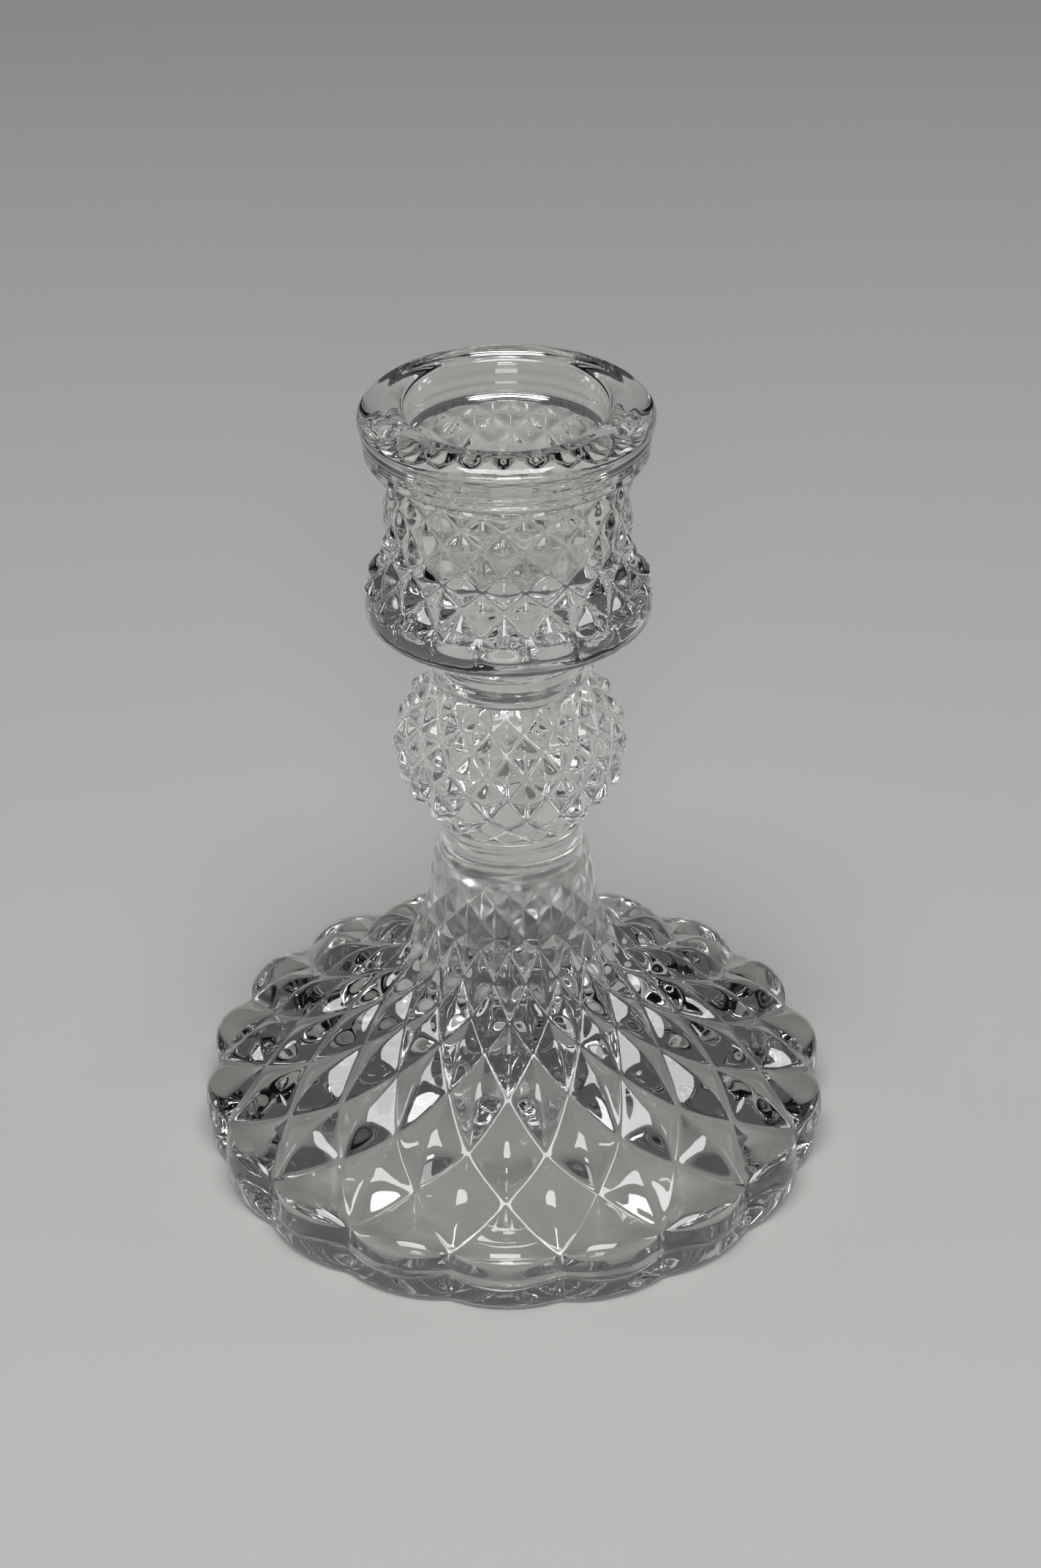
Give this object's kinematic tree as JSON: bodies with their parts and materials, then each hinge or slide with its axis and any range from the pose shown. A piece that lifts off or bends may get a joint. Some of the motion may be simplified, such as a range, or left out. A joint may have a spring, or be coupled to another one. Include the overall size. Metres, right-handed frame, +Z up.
{
  "type": "glass candlestick",
  "caption": "Pressed-glass candlestick for a taper candle: scalloped diamond-cut foot, ball knop between plain collars, and a rimmed candle cup.",
  "frame": {"origin": "centre of the circle the foot stands on, at table height", "axes": "+Z up along the axis of the stem and socket; one foot scallop points to -Y"},
  "size_m": [0.0792, 0.08, 0.1015],
  "materials": {
    "clear_glass": "clear fire-polished pressed glass, very faint warm grey tint"
  },
  "bodies": {
    "root": {"foot": "clear_glass", "stem_collar": "clear_glass", "knop": "clear_glass", "neck_collar": "clear_glass", "candle_cup": "clear_glass"}
  },
  "joints": []
}
